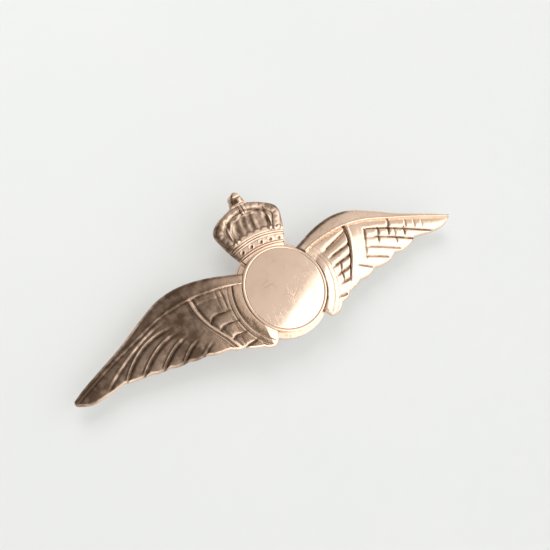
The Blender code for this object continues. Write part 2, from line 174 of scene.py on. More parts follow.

# Each wing is struck and cut by its own hand, so each has its own list of marks.
#   notches, drops: where the lower edge is nicked between feather tips, and how far each tip stands out
#   divider, divider_end: the rib between inner and outer feathers as (y, x), and its shaded line's lower end
#   primaries, coverts: the outer and inner feathers' grooves (start x, start y, end x, end y, bend, strength)
#   primary_start: how far each outer groove runs before it has its full depth
#   cuts: the graver's short strokes (x0, y0, x1, y1, width, strength)
#   valley, cut_width, ridge: the grooves' depth, and the outer ones' half-width and the lip above them
#   pillow, pad: how far the outer and the inner feathers swell
#   rib, rib_half_width, wire: the rib's height and half-width, and the height of the wire under the top band
#   root_radius, collar_swell, collar_cut: where the root begins, and the collar's roundness and its lines
#   lit_line, turn_down: above this line, as (x, y), the face turns down, by x, with the distance squared
# And its own darkening, from 0 to 1, partly patina and partly painted shade:
#   cut_tarnish, shade, rim_shade, root_shade: patina in the grooves, and painted shade beside the rib, under
#   the top edge, by the disc film_and_shade, wire_film_and_shade, band_shade: a thin layer by x, partly
#   patina and partly painted shade, what the wire adds to it, and painted shade on the band
#   low_shade_lift, edge_shine: how much of that layer comes off the low inner part, and off the lower edge by
#       x, leaving them lit
RIGHT_WING = {
    "name": "right_wing_relief",
    "node": "right_wing",
    "mirrored": False,
    "notches": (2.94, 5.35, 6.9, 8.9, 11.3, 14.8, 18.3, 23.9),
    "drops": (0.30, 0.26, 0.16, 0.34, 0.42, 0.46, 0.20),
    "divider": ((-3.6, 6.95), (-1.8, 8.10), (0.0, 9.25), (1.5, 9.95), (3.5, 10.50)),
    "divider_end": -2.1,
    "shade": 0.9,
    "rim_shade": 0.80,
    "film_and_shade": ((5.0, 0.16), (9.0, 0.13), (12.0, 0.05), (23.0, 0.08)),
    "wire_film_and_shade": 0.0,
    "band_shade": 0.20,
    "edge_shine": ((4.0, 1.0), (23.0, 1.0)),
    "lit_line": (
        (4.0, -1.6), (5.0, -0.7), (7.5, -0.2), (9.5, 0.8), (11.5, 1.6), (13.0, 0.6), (16.0, 0.0),
        (19.0, -1.1), (24.0, -1.5),
    ),
    "turn_down": ((4.0, 0.060), (6.0, 0.058), (9.0, 0.050), (12.0, 0.026), (24.0, 0.030)),
    "low_shade_lift": 0.0,
    "root_shade": 0.8,
    "root_radius": 4.74,
    "pillow": 0.055,
    "ridge": 0.0,
    "cut_width": 0.125,
    "pad": 0.060,
    "rib": 0.06,
    "rib_half_width": 0.24,
    "wire": 0.030,
    "valley": 0.14,
    "cut_tarnish": 0.95,
    "collar_cut": 0.6,
    "collar_swell": 0.035,
    "primaries": (
        (12.3, 2.15, 20.9, -1.45, 1.22, 1.0),
        (12.9, 0.95, 18.2, -1.40, 1.15, 0.95),
        (11.7, 0.15, 15.9, -1.70, 1.15, 0.75),
        (10.6, -0.62, 13.7, -1.85, 1.10, 0.75),
        (9.1, -1.05, 11.2, -2.15, 1.05, 0.7),
    ),
    "primary_start": 0.8,
    "coverts": (
        (6.3, 1.70, 10.1, 2.80, 0.0, 0.8),
        (6.3, 0.75, 9.8, 1.35, 0.0, 0.9),
        (6.1, -0.30, 9.5, 0.20, 0.0, 0.9),
        (6.0, -1.32, 8.9, -0.95, 0.0, 0.8),
        (5.9, -2.25, 8.2, -2.15, 0.0, 0.7),
        (4.8, -3.38, 6.4, -3.48, 0.0, 0.7),
    ),
    "cuts": (
        (12.62, 2.15, 11.95, 0.95, 0.13, 1.0),
        (11.95, 0.95, 11.0, -0.95, 0.11, 0.55),
        (14.35, 1.62, 13.55, 0.20, 0.15, 0.9),
        (13.55, 0.20, 13.10, -0.50, 0.10, 0.35),
        (16.15, 1.95, 15.20, 0.35, 0.15, 1.0),
        (16.20, 0.62, 15.75, -0.85, 0.12, 0.65),
        (17.60, 0.45, 17.20, -0.45, 0.14, 0.8),
        (18.25, 1.10, 17.75, 0.10, 0.11, 0.6),
        (19.30, 0.62, 18.90, -0.30, 0.11, 0.5),
        (20.20, 0.20, 19.90, -0.60, 0.10, 0.3),
        (7.55, -0.10, 7.10, -1.20, 0.10, 0.9),
        (7.10, -1.20, 6.90, -2.20, 0.10, 0.8),
    ),
}
LEFT_WING = {
    "name": "left_wing_relief",
    "node": "left_wing",
    "mirrored": True,
    "notches": (2.94, 4.9, 6.6, 8.0, 10.4, 12.2, 14.2, 16.1, 18.9, 23.9),
    "drops": (0.22, 0.20, 0.20, 0.16, 0.14, 0.14, 0.14, 0.16, 0.22),
    "divider": (
        (-3.6, 6.90), (-2.0, 7.62), (-1.0, 8.20), (0.0, 8.76), (1.0, 9.16), (2.0, 9.38), (3.5, 9.48),
    ),
    "divider_end": -3.4,
    "shade": 0.35,
    "rim_shade": 0.55,
    "film_and_shade": (
        (5.0, 0.22), (6.2, 0.34), (7.5, 0.58), (9.5, 0.60), (11.0, 0.78), (13.5, 0.60), (16.0, 0.54),
        (20.0, 0.68), (23.5, 0.95),
    ),
    "wire_film_and_shade": 0.10,
    "band_shade": 0.0,
    "edge_shine": (
        (4.0, 1.0), (7.5, 0.9), (10.0, 0.4), (17.0, 0.4), (19.3, 1.0), (21.0, 1.0), (22.5, 0.5), (24.0, 0.3),
    ),
    "lit_line": ((5.0, 2.0), (24.0, 2.0)),
    "turn_down": ((4.0, 0.0), (24.0, 0.0)),
    "low_shade_lift": 0.30,
    "root_shade": 0.0,
    "root_radius": 4.69,
    "pillow": 0.012,
    "ridge": 0.060,
    "cut_width": 0.17,
    "pad": 0.035,
    "rib": 0.10,
    "rib_half_width": 0.30,
    "wire": 0.018,
    "valley": 0.15,
    "cut_tarnish": 1.0,
    "collar_cut": 0.30,
    "collar_swell": 0.014,
    "primaries": (
        (12.9, 2.30, 20.4, -1.05, 1.50, 0.25),
        (12.5, 1.55, 18.6, -1.20, 2.50, 0.85),
        (12.1, 0.78, 16.9, -1.50, 2.00, 0.95),
        (11.4, 0.00, 14.9, -1.85, 1.75, 0.95),
        (10.3, -0.78, 12.9, -2.25, 1.80, 0.9),
        (9.1, -1.65, 11.0, -2.70, 1.60, 0.7),
    ),
    "primary_start": 1.8,
    "coverts": (
        (6.1, 2.05, 9.2, 2.60, 0.2, 0.12),
        (6.1, 0.40, 8.9, 0.95, 1.1, 0.75),
        (5.9, -0.85, 8.4, -0.45, 0.9, 0.8),
        (5.7, -2.20, 7.7, -1.95, 0.8, 0.75),
        (5.0, -3.40, 6.6, -3.45, 0.2, 0.7),
    ),
    "cuts": (
        (6.35, 2.9, 6.55, 0.9, 0.10, 0.25),
        (6.95, 2.9, 7.10, 1.0, 0.10, 0.15),
    ),
}


def wing_arch(x):
    """Height of the wing's face, which bends back from the disc towards the tip."""
    out = np.maximum(0.0, x - 4.0)
    return -(0.10 + 0.176 * out - 0.004 * out * out)


def wing_back(x):
    grow = smooth_step(PLATE_RADIUS + 0.1, PLATE_RADIUS + 3.1, x)
    level = wing_arch(x) - 0.58 - 0.22 * grow
    return np.where(x <= PLATE_RADIUS + 0.1, SEAT, level)


def lower_edge(x, wing):
    """The lower edge with a rounded, outward-leaning feather tip between each two notches."""
    y = lower_base(x)
    for start, end, drop in zip(wing["notches"], wing["notches"][1:], wing["drops"]):
        share = np.clip((x - start) / (end - start), 0, 1)
        y = y - drop * np.sin(math.pi * share**1.35) ** 0.75
    return y


def wing_plan(wing):
    """Grids of plan x and y: columns run from root to tip, rows from the lower edge to the upper."""
    u, t = np.meshgrid(np.linspace(0, 1, WING_COLUMNS), clustered(WING_ROWS))
    low_x = LOWER_EDGE[0][0] + (LOWER_EDGE[-1][0] - LOWER_EDGE[0][0]) * u
    high_x = UPPER_EDGE[0][0] + (UPPER_EDGE[-1][0] - UPPER_EDGE[0][0]) * u
    low_y, high_y = lower_edge(low_x, wing), upper_edge(high_x)
    angle = np.radians(ROOT_ANGLES[0] + (ROOT_ANGLES[1] - ROOT_ANGLES[0]) * t)
    chord_x = LOWER_EDGE[0][0] + (UPPER_EDGE[0][0] - LOWER_EDGE[0][0]) * t
    chord_y = LOWER_EDGE[0][1] + (UPPER_EDGE[0][1] - LOWER_EDGE[0][1]) * t
    fade = (1 - u) ** 7
    tip = 0.25 * np.sqrt(np.clip(4 * t * (1 - t), 0, 1)) * smooth_step(0.975, 1.0, u)
    x = low_x + (high_x - low_x) * t + (wing["root_radius"] * np.cos(angle) - chord_x) * fade + tip
    y = low_y + (high_y - low_y) * t + (wing["root_radius"] * np.sin(angle) - chord_y) * fade
    return x, y


def groove_lines(grooves, x, drooping):
    """The y of every groove at x, one layer each: steepening steadily, or drooping at its outer end."""
    layers = []
    for x0, y0, x1, y1, bend, _ in grooves:
        share = np.clip((x - x0) / (x1 - x0), -0.6, 1.6)
        if drooping:
            layers.append(y0 + (y1 - y0) * share - bend * np.clip(share, 0, 1.2) ** 6)
        else:
            layers.append(y0 + (y1 - y0) * np.sign(share) * np.abs(share) ** bend)
    return np.stack(layers)


def feather_rows(top, lines, bottom, y):
    """Pillow-shaped rows between the lines, from 0 in a groove to 1 on a row's crown."""
    edges = np.concatenate([top[None], lines, bottom[None]])
    swell = np.zeros_like(y)
    for above, below in zip(edges, edges[1:]):
        share = np.clip((above - y) / np.maximum(above - below, 0.05), 0, 1)
        swell = np.where((y <= above) & (y > below), np.sin(math.pi * share) ** 0.8, swell)
    return swell


def cut_marks(grooves, lines, x, y, width, lead):
    """Strength of the tapering cut along each groove, swelling towards its outer end."""
    marks = np.zeros_like(x)
    for (x0, _, x1, _, _, strength), line in zip(grooves, lines):
        share = (x - x0) / (x1 - x0)
        ends = smooth_step(-0.02, lead / (x1 - x0), share) * smooth_step(1.06, 0.97, share)
        swell = width * (0.70 + 0.45 * np.clip(share, 0, 1))
        marks = np.maximum(marks, strength * groove(y - line, swell) * ends)
    return marks


def short_cuts(cuts, x, y):
    """Strength of the graver's short straight strokes."""
    marks = np.zeros_like(x)
    for x0, y0, x1, y1, width, strength in cuts:
        distance, along = path_distance(((x0, y0), (x1, y1)), x, y)
        swell = width * (0.75 + 0.5 * np.sin(math.pi * along))
        marks = np.maximum(marks, strength * groove(distance, swell))
    return marks


def path_distance(points, x, y):
    """Distance from each (x, y) to the polyline, and how far along it, as a share, the nearest place is."""
    best = np.full(x.shape, 1e9)
    along = np.zeros(x.shape)
    for i, ((x0, y0), (x1, y1)) in enumerate(zip(points, points[1:])):
        length2 = (x1 - x0) ** 2 + (y1 - y0) ** 2
        share = np.clip(((x - x0) * (x1 - x0) + (y - y0) * (y1 - y0)) / length2, 0, 1)
        distance = np.hypot(x - x0 - share * (x1 - x0), y - y0 - share * (y1 - y0))
        nearer = distance < best
        best = np.where(nearer, distance, best)
        along = np.where(nearer, (i + share) / (len(points) - 1), along)
    return best, along


def outer_feathers(x, y, wing):
    """Height of the long outer feathers, and the cuts between them."""
    lines = groove_lines(wing["primaries"], x, False)
    swell = feather_rows(ridge_line(x) - 0.3, lines, lower_edge(x, wing) - 0.3, y)
    start = smooth_step(10.6, 12.8, x + 0.9 * (0.5 - y))
    cut = cut_marks(wing["primaries"], lines, x, y, wing["cut_width"], wing["primary_start"])
    lip = cut_marks(wing["primaries"], lines + 0.30, x, y, 0.13, wing["primary_start"])
    height = FIELD_LEVEL + wing["pillow"] * (swell - 0.35) * start - wing["valley"] * cut
    return height + wing["ridge"] * lip, cut


def inner_feathers(x, y, wing):
    """Height of the short inner feathers, and the cuts between them."""
    lines = groove_lines(wing["coverts"], x, True)
    swell = feather_rows(ridge_line(x) - 0.3, lines, lower_edge(x, wing) - 0.3, y)
    open_out = smooth_step(5.9, 7.4, np.hypot(x, y))
    cut = cut_marks(wing["coverts"], lines, x, y, COVERT_CUT_WIDTH, 1.0)
    return FIELD_LEVEL + wing["pad"] * (swell - 0.4) * open_out - wing["valley"] * cut, cut


def feather_field(x, y, wing):
    """Height of both fields of feathers with the rib between them, and the marks in them."""
    divide = smooth_curve(wing["divider"])(np.clip(y, -3.6, 3.5))
    side = smooth_step(-0.10, 0.10, x - divide)
    outer, outer_cut = outer_feathers(x, y, wing)
    inner, inner_cut = inner_feathers(x, y, wing)
    strokes = short_cuts(wing["cuts"], x, y)
    field = inner * (1 - side) + outer * side
    field = field - 0.6 * wing["valley"] * strokes

    under_band = smooth_step(0.05, 0.35, ridge_line(x) - y)
    rib_half = wing["rib_half_width"]
    rib = bead(x - divide - rib_half, rib_half) * under_band
    # A shallow cut beside the rib, which also carries a painted shadow line
    narrow = 0.07 + 0.06 * smooth_step(-3.0, 2.5, y)
    ends = smooth_step(wing["divider_end"] - 0.25, wing["divider_end"] + 0.25, y)
    shadow = groove(x - divide + 0.10, narrow) * under_band * ends
    field = field + wing["rib"] * rib - 0.18 * wing["shade"] * shadow
    cuts = np.maximum(np.maximum(outer_cut * side, inner_cut * (1 - side)), 0.95 * strokes)
    return field, {"cuts": cuts, "shadow": shadow, "rib": rib}


def add_collar(field, x, y, wing):
    """The field with a rounded collar round the disc and two lines outside it, and the lines' patina."""
    distance = np.hypot(x, y)
    under_band = smooth_step(0.05, 0.35, ridge_line(x) - y)
    share = np.clip((COLLAR_RADIUS - distance) / (COLLAR_RADIUS - COLLAR_INNER), 0, 1)
    collar = -0.02 + wing["collar_swell"] * np.sin(math.pi * share) ** 0.6
    on_collar = smooth_step(COLLAR_RADIUS + 0.05, COLLAR_RADIUS - 0.10, distance) * under_band
    first_line = groove(distance - COLLAR_RADIUS - 0.02, 0.07) * under_band
    second_line = groove(distance - COLLAR_RADIUS - 0.52, 0.07) * under_band
    rings = 0.05 * first_line + 0.035 * second_line
    field = field * (1 - on_collar) + collar * on_collar - wing["collar_cut"] * rings
    return field, wing["collar_cut"] * np.maximum(0.55 * first_line, 0.35 * second_line)


def wing_relief(x, y, wing):
    """Height over the arch, and darkening from 0 on worn metal to 1 in the grooves, partly patina and partly
    painted shade.
    """
    high, low, ridge = upper_edge(x), lower_edge(x, wing), ridge_line(x)

    # Band along the leading edge: a gentle roll that falls away to the outside, with a low wire under it
    across = np.clip((high - y) / np.maximum(high - ridge, 0.05), 0, 1)
    band = 0.10 * np.sqrt(np.clip(1 - (1 - across) ** 2, 0, 1))
    wire = wing["wire"] * bead(y - ridge + 0.12, 0.17)
    under_wire = groove(y - ridge + 0.34, 0.08) * smooth_step(4.2, 5.5, x)

    field, lines = feather_field(x, y, wing)
    field, collar_tarnish = add_collar(field, x, y, wing)
    above_lit = np.clip(y - smooth_curve(wing["lit_line"])(x), 0, 2)
    field = field - smooth_curve(wing["turn_down"])(x) * above_lit**2
    below = smooth_step(-0.02, 0.14, ridge - 0.2 - y)
    height = band * (1 - below) + field * below + wire
    height = height - 0.03 * under_wire

    # The whole face is gently crowned across its width, and every edge is rolled over
    middle = (high + low) / 2
    width = np.maximum(high - low, 0.4)
    height = height - CROWNING * width * ((y - middle) / (width / 2)) ** 2
    from_edge = np.minimum(high - y, y - low)
    height = height - EDGE_ROLL * np.clip(1 - from_edge / 0.32, 0, 1) ** 2

    return height, wing_tarnish_and_shade(x, y, wing, {
        "cuts": lines["cuts"] * below,
        "shadow": lines["shadow"] * below,
        "collar": collar_tarnish,
        "under_wire": 0.30 * under_wire,
        "rib": lines["rib"],
    })


def wing_tarnish_and_shade(x, y, wing, lines):
    """Darkening from 0 on worn metal to 1: patina in the lines, painted shade by the rib, the top edge and
    the disc, and a thin layer, partly painted shade, in each wing's own places.
    """
    from_top, from_bottom = upper_edge(x) - y, y - lower_edge(x, wing)
    # Patina in the cuts, and a painted shadow beside the rib
    dark = np.maximum(wing["cut_tarnish"] * lines["cuts"], wing["shade"] * lines["shadow"])
    dark = np.maximum(dark, np.maximum(lines["collar"], lines["under_wire"]))
    # Painted shade under the top edge, towards the root
    rim = smooth_step(0.55, 0.14, from_top) * smooth_step(12.8, 10.8, x)
    dark = np.maximum(dark, wing["rim_shade"] * rim)
    # Painted shadow in the gap by the disc
    dark = np.maximum(dark, wing["root_shade"] * smooth_step(5.0, 4.84, np.hypot(x, y)))
    # A thin layer by x, partly patina and partly painted shade, heavier on the left wing
    film_and_shade = smooth_curve(wing["film_and_shade"])(x)
    # Less of the layer on the low inner part, which leaves it lit: painted light
    film_and_shade = film_and_shade - wing["low_shade_lift"] * smooth_step(0.8, -1.8, y) * smooth_step(10.0, 8.0, x)
    # More of that layer along the wire
    film_and_shade = film_and_shade + wing["wire_film_and_shade"] * groove(y - ridge_line(x) + 0.10, 0.28)
    # Painted shade on the band near the root
    on_band = smooth_step(-0.1, 0.3, y - ridge_line(x)) * smooth_step(12.5, 9.5, x)
    film_and_shade = film_and_shade + wing["band_shade"] * on_band
    # The layer comes off the lower edge by x, so the edge keeps its highlight
    shine = smooth_curve(wing["edge_shine"])(x) * smooth_step(0.30, 0.0, from_bottom)
    film_and_shade = film_and_shade * (1 - shine) * (1 - 0.45 * lines["rib"]) * smooth_step(4.8, 6.2, np.hypot(x, y))
    film_and_shade = np.clip(film_and_shade, 0, 1)
    return np.clip(dark + film_and_shade * (1 - dark), 0, 1)


def make_wing(wing):
    x, y = wing_plan(wing)
    relief, tarnish_and_shade = wing_relief(x, y, wing)
    piece = slab(wing["name"], x, y, wing_arch(x) + relief, wing_back(x), tarnish_and_shade, wing["mirrored"])
    piece.data.materials.append(struck_gold(wing["node"] + "_gold"))
    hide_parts(wing["node"])
    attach(piece, "badge")


# ---------------------------------------------------------------- crown


CROWN_COLUMNS = 170
CROWN_ROWS = 260
CROWN_TOP = 11.6
CROWN_SEAT = 4.68
CROWN_FACE = -0.42
CROWN_HALF_WIDTHS = (
    (4.68, 2.62), (5.2, 2.85), (5.8, 3.15), (6.4, 3.50), (7.0, 3.82), (7.6, 4.05), (8.1, 4.10),
    (8.6, 3.92), (9.1, 3.40), (9.5, 2.72), (9.8, 2.02), (10.05, 1.32), (10.25, 0.98), (10.5, 0.88),
    (10.8, 0.80), (11.1, 0.76), (11.35, 0.62), (11.6, 0.30),
)
OUTER_ARCH = ((2.75, 6.45), (3.25, 7.2), (3.50, 7.9), (3.25, 8.55), (2.55, 9.15), (1.5, 9.62), (0.0, 9.85))
INNER_ARCH = ((2.05, 6.60), (2.35, 7.2), (2.40, 7.9), (1.95, 8.5), (1.1, 8.95), (0.0, 9.12))
BAND_STUDS = (-2.2, -1.05, 0.2, 1.35, 2.35)
STUD_LEVEL = 5.55
CAP_START = (6.40, 6.50)
CREST_SPACING = 0.9
PILLAR_X = 0.10
PILLAR_TOP = 10.6

# The cap's hollows, with painted shade in them: (x, y, size, strength)
CAP_SHADES = (
    (-1.25, 7.65, 0.62, 1.0), (0.05, 8.2, 0.65, 1.0), (0.25, 7.5, 0.45, 0.9), (1.95, 7.6, 0.60, 1.0),
)


def rounded_path(points, count=60):
    """The path's points made into a smooth line, evenly stepped."""
    steps = np.linspace(0, len(points) - 1, count)
    number = range(len(points))
    xs = smooth_curve([(i, p[0]) for i, p in zip(number, points)])(steps)
    ys = smooth_curve([(i, p[1]) for i, p in zip(number, points)])(steps)
    return list(zip(xs, ys))


def crown_plan():
    s, v = np.meshgrid(2 * clustered(CROWN_COLUMNS) - 1, np.linspace(0, 1, CROWN_ROWS))
    level = CROWN_SEAT + (CROWN_TOP - CROWN_SEAT) * v
    half = smooth_curve(CROWN_HALF_WIDTHS)(level)
    x = s * half
    sink = np.sqrt(CROWN_SEAT**2 - np.minimum(np.abs(x), 4.2) ** 2) - CROWN_SEAT
    y = level + sink * np.clip(1 - (level - CROWN_SEAT) / 2.5, 0, 1)
    y = y - 0.10 * s * s * smooth_step(11.2, CROWN_TOP, level)
    return x, y, s, half


def crown_band(x, level):
    """Height and patina of the plain band, with its beads and its row of round hollows."""
    band = smooth_step(4.85, 5.05, level) * smooth_step(6.42, 6.30, level)
    height = np.full_like(x, -0.10) + 0.10 * band
    height = height + 0.06 * bead(level - 5.08, 0.15) + 0.07 * bead(level - 6.02, 0.13)
    height = height + 0.06 * bead(level - 6.30, 0.14)
    tarnish_and_shade = 0.45 * groove(level - 5.86, 0.07) + 0.30 * groove(level - 6.16, 0.05)
    tarnish_and_shade = tarnish_and_shade + 0.25 * groove(level - 5.26, 0.05)
    for stud_x in BAND_STUDS:
        from_stud = np.hypot(x - stud_x, level - STUD_LEVEL)
        hole = groove(from_stud, 0.17)
        rim = groove(from_stud - 0.26, 0.08)
        height = height - 0.07 * hole + 0.02 * rim
        tarnish_and_shade = np.maximum(tarnish_and_shade, 0.50 * hole)
    return height, tarnish_and_shade


def add_cap(height, tarnish_and_shade, x, y, level):
    """Adds a low row of leaves over the band, and a softly folded cap, darkened all over, with painted shade
    in its fold troughs and a few hollows.
    """
    above = smooth_step(*CAP_START, level)
    crest = np.abs(np.sin(math.pi * x / CREST_SPACING)) ** 0.7
    crest_top = 6.72 + 0.24 * crest
    on_crest = above * smooth_step(crest_top + 0.12, crest_top - 0.08, level)
    height = height + 0.09 * on_crest
    tarnish_and_shade = np.maximum(tarnish_and_shade, 0.40 * above * groove(level - crest_top - 0.12, 0.12))

    cap = above * smooth_step(crest_top, crest_top + 0.25, level) * smooth_step(9.25, 8.95, y)
    inside = cap * smooth_step(2.55, 2.25, np.abs(x))
    folds = np.cos(2 * math.pi * (x + 0.12 * np.sin(1.9 * y)) / 0.92 + 0.5 * np.sin(2.3 * x))
    height = height + inside * (0.035 * folds - 0.05)
    # The cap is darkened all over, partly patina, and more in the fold troughs as painted shade
    tarnish_and_shade = np.maximum(tarnish_and_shade, inside * (0.42 - 0.20 * folds))
    # Painted shade in the cap's hollows
    for shade_x, shade_y, size, strength in CAP_SHADES:
        hollow = strength * groove(np.hypot(x - shade_x, (y - shade_y) / 1.25), size)
        height = height - 0.06 * hollow * inside
        tarnish_and_shade = np.maximum(tarnish_and_shade, 0.90 * hollow * inside * (0.80 - 0.20 * folds))
    outside = cap * smooth_step(2.75, 3.05, np.abs(x))
    return height, np.maximum(tarnish_and_shade, 0.30 * outside)


def add_arches(height, tarnish_and_shade, x, y, level):
    """Adds the outer arch with its pearls, the inner arch, and the seamed pillar that they meet at."""
    above = smooth_step(*CAP_START, level)
    inner, _ = path_distance(rounded_path(INNER_ARCH), np.abs(x), y)
    outer, share = path_distance(rounded_path(OUTER_ARCH), np.abs(x), y)
    pillar = np.where((y > 8.95) & (y < PILLAR_TOP), np.abs(x - PILLAR_X), 9.0)
    arches = np.maximum(0.12 * bead(outer, 0.46), 0.10 * bead(inner, 0.26))
    arches = np.maximum(arches, 0.19 * bead(pillar, 0.48))
    height = height + arches * above
    for distance, reach, strength in ((outer, 0.50, 0.50), (inner, 0.33, 0.50), (pillar, 0.52, 0.45)):
        tarnish_and_shade = np.maximum(tarnish_and_shade, strength * groove(distance - reach, 0.10) * above * (y < 10.2))
    pearls = np.abs(np.sin(math.pi * share * 8))
    line = groove(outer - 0.05, 0.20) * above
    height = height + 0.03 * line * (pearls - 0.35)
    tarnish_and_shade = np.maximum(tarnish_and_shade, 0.30 * line * (1 - pearls) ** 2)
    seam = groove(pillar, 0.07)
    return height - 0.05 * seam, np.maximum(tarnish_and_shade, 0.35 * seam)


def add_finial(height, tarnish_and_shade, x, y, s, finial):
    """Adds a fluted knob with a rounded cap, where finial is 1, with painted shade down its left side."""
    dome = np.sqrt(np.clip(1 - s * s, 0, 1))
    height = height * (1 - finial) + finial * (-0.12 + 0.38 * dome)
    rings = groove(y - 10.95, 0.10)
    reeds = np.cos(2 * math.pi * (x - 0.1) / 0.95)
    neck = finial * smooth_step(10.9, 10.7, y)
    height = height + 0.05 * reeds * neck - 0.05 * rings * finial
    # Painted shade down the knob's left side
    dark_side = 0.60 * smooth_step(-0.2, -0.75, s) * neck
    dark = np.clip(0.35 * rings + 0.30 * (0.3 - reeds) * neck + dark_side, 0, 1)
    return height, np.maximum(tarnish_and_shade * (1 - finial), finial * dark)


def crown_relief(x, y, s, half):
    """Height over the crown's face, and darkening, partly patina and partly painted shade. s is the share of
    the half-width, from -1 to 1.
    """
    level = y + 0.055 * x * x
    finial = smooth_step(10.05, 10.30, y)
    height, tarnish_and_shade = crown_band(x, level)
    height, tarnish_and_shade = add_cap(height, tarnish_and_shade, x, y, level)
    height, tarnish_and_shade = add_arches(height, tarnish_and_shade, x, y, level)
    height, tarnish_and_shade = add_finial(height, tarnish_and_shade, x, y, s, finial)

    # Rolled edges, a crowned face, and a thin darkening, partly patina and partly painted shade, heavier on
    # the left, at the top and at the upper right
    from_side = half * (1 - np.abs(s))
    height = height - EDGE_ROLL * np.clip(1 - from_side / 0.30, 0, 1) ** 2
    height = height - 0.18 * np.clip(1 - (CROWN_TOP - y) / 0.18, 0, 1) ** 2
    height = height - 0.020 * (x * x + 0.6 * (y - 7.8) ** 2) * (1 - finial)
    film_and_shade = 0.20 + 0.20 * smooth_step(-2.0, -3.6, x) + 0.12 * smooth_step(7.4, 8.8, y)
    film_and_shade = film_and_shade + 0.25 * smooth_step(-1.2, -2.6, x) * smooth_step(6.6, 6.0, y)
    film_and_shade = film_and_shade + 0.22 * smooth_step(0.8, 2.0, x) * smooth_step(8.0, 8.8, y)
    return height, np.clip(tarnish_and_shade + film_and_shade * (1 - tarnish_and_shade), 0, 1)


def make_crown():
    x, y, s, half = crown_plan()
    relief, tarnish_and_shade = crown_relief(x, y, s, half)
    back = np.full_like(x, SEAT)
    top = np.maximum(CROWN_FACE + relief, back + 0.06)
    crown = slab("struck_crown", x, y, top, back, tarnish_and_shade)
    crown.data.materials.append(struck_gold("crown_gold"))
    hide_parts("crown")
    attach(crown, "badge")


# ---------------------------------------------------------------- turned pieces


def turned_piece(name, profile, steps, closed=False):
    """A profile of (radius, height) pairs, down its outer side, turned about the badge's own axis."""
    bm = bmesh.new()
    points = [bm.verts.new((r * MM, 0, z * MM)) for r, z in profile]
    ends = points[1:] + points[:1] if closed else points[1:]
    edges = [bm.edges.new(pair) for pair in zip(points, ends)]
    bmesh.ops.spin(
        bm, geom=points + edges, cent=(0, 0, 0), axis=(0, 0, 1), angle=math.tau, steps=steps, use_merge=True
    )
    bmesh.ops.remove_doubles(bm, verts=bm.verts, dist=1e-8)
    bmesh.ops.recalc_face_normals(bm, faces=bm.faces)
    mesh = bpy.data.meshes.new(name)
    bm.to_mesh(mesh)
    bm.free()
    mesh.shade_smooth()
    mesh.set_sharp_from_angle(angle=math.radians(35))
    piece = bpy.data.objects.new(name, mesh)
    piece.location = BADGE
    bpy.context.scene.collection.objects.link(piece)
    return piece


def quarter(radius, centre_r, centre_z, start, end, steps=6):
    """Points of a rounded corner, angles in degrees from outwards towards the face."""
    angles = np.radians(np.linspace(start, end, steps))
    return [(centre_r + radius * math.cos(a), centre_z + radius * math.sin(a)) for a in angles]


def make_disc():
    """A shallow dome that rolls over at its edge into a straight side."""
    rise, rim, edge = 0.16, -0.10, 0.05
    inner = DISC_RADIUS - edge
    curve = (inner**2 + rise**2) / (2 * rise)
    radii = [inner * i / 40 for i in range(40)]
    dome = [(r, rim + rise - curve + math.sqrt(curve**2 - r**2)) for r in radii]
    profile = dome + quarter(edge, inner, rim - edge, 88, 0) + [(DISC_RADIUS, SEAT), (0.0, SEAT)]
    disc = turned_piece("polished_disc", profile, 192)
    disc.data.materials.append(polished_gold("disc_gold"))
    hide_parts("centre_disc")
    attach(disc, "badge")


def make_bezel():
    """A low flat-topped ring that hugs the disc, with both of its corners eased."""
    low, top, ease = DISC_RADIUS + 0.006, -0.09, 0.05
    profile = quarter(ease * 0.6, low + ease * 0.6, top - ease * 0.6, 180, 90, 4)
    profile += [((low + BEZEL_RADIUS) / 2, top + 0.012)]
    profile += quarter(ease, BEZEL_RADIUS - ease, top - ease, 90, 0)
    bezel = turned_piece("bezel_ring", profile + [(BEZEL_RADIUS, SEAT), (low, SEAT)], 192, closed=True)
    bezel.data.materials.append(polished_gold("bezel_gold", scratches=0.4))
    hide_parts("disc_bezel")
    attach(bezel, "badge")


def make_plate():
    """A round plate with rounded edges, and a shallow recess in its back inside a flat rim."""
    edge, bottom = 0.14, PLATE_TOP - 0.80
    rim_width, recess_width, recess = 0.50, 0.56, 0.05
    inner = PLATE_RADIUS - edge
    profile = [(0.0, PLATE_TOP), (inner * 0.5, PLATE_TOP)]
    profile += quarter(edge, inner, PLATE_TOP - edge, 90, 0) + quarter(edge, inner, bottom + edge, 0, -90)
    profile += [(inner - rim_width, bottom), (inner - recess_width, bottom + recess), (0.0, bottom + recess)]
    plate = turned_piece("round_plate", profile, 160)
    plate.data.materials.append(satin_gold("plate_gold"))
    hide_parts("back_plate")
    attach(plate, "badge")


# ---------------------------------------------------------------- fittings


# The hinge's centre. PIN_POINT is measured from it along X, and LUG_REACH along Y to a lug's outer face.
HINGE = (-14.8, 1.15, -3.85)
PIN_POINT = 32.4
WIRE_RADIUS = 0.40
LUG_REACH = 1.355

# CAD node, the body it rides on, how wide its eased edges are, and its material slot
CUT_FITTINGS = (
    ("hinge_plate", "badge", 0.06, "fitting_metal"),
    ("hinge_lug_upper", "badge", 0.07, "fitting_metal"),
    ("hinge_lug_lower", "badge", 0.07, "fitting_metal"),
    ("catch_plate", "badge", 0.06, "fitting_metal"),
    ("catch_body", "badge", 0.07, "fitting_metal"),
    ("catch_rotor", "lock", 0.03, "pin_metal"),
    ("catch_lever", "lock", 0.08, "pin_metal"),
)


def dress(piece, node, body, material):
    """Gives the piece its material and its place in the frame."""
    piece.data.materials.clear()
    piece.data.materials.append(material)
    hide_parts(node)
    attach(piece, body)


